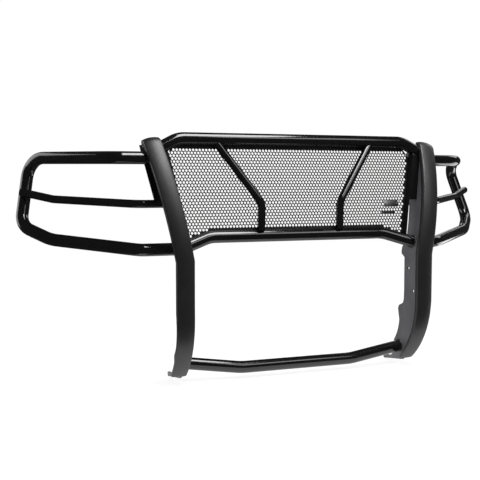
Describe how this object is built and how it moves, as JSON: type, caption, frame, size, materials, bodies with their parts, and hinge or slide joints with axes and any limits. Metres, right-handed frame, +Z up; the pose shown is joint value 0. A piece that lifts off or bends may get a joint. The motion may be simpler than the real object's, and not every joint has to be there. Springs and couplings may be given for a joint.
{
  "type": "front grille guard",
  "caption": "Wrap-around tubular grille guard with padded uprights, punched mesh centre section, lamp wings and a low crossbar for a pickup truck.",
  "frame": {"origin": "bottom centre of the whole guard: X on the plane of symmetry, Y halfway from the front of the pads to the back of the wings, Z at the lowest point of the uprights", "axes": "+X across the truck to the right seen from in front, -Y out of the front of the truck, +Z up"},
  "size_m": [1.9372, 0.5018, 0.879],
  "materials": {
    "gloss_tube": "gloss black powder coat",
    "satin_plate": "satin black powder coat",
    "mesh_coat": "fine-textured black powder coat",
    "pad_rubber": "satin moulded rubber",
    "nut_zinc": "zinc plated",
    "badge_metal": "satin",
    "tag_plastic": "matte"
  },
  "bodies": {
    "root": {"upright_plate_left": "satin_plate", "upright_plate_right": "satin_plate", "pad_strip_left": "satin_plate", "pad_strip_right": "satin_plate", "pad_left": "pad_rubber", "pad_right": "pad_rubber", "pad_nuts_left": "nut_zinc", "pad_nuts_right": "nut_zinc", "top_bar": "gloss_tube", "lower_bar": "gloss_tube", "crossbar": "gloss_tube", "strut_left": "gloss_tube", "strut_right": "gloss_tube", "mesh_panel": "mesh_coat", "mesh_flange_left": "mesh_coat", "mesh_flange_right": "mesh_coat", "mesh_ear_left": "satin_plate", "mesh_ear_right": "satin_plate", "wing_loop_left": "gloss_tube", "wing_loop_right": "gloss_tube", "wing_middle_bar_left": "gloss_tube", "wing_middle_bar_right": "gloss_tube", "wing_brace_left": "satin_plate", "wing_brace_right": "satin_plate", "badge_plate": "badge_metal", "badge_tag": "tag_plastic"}
  },
  "joints": []
}
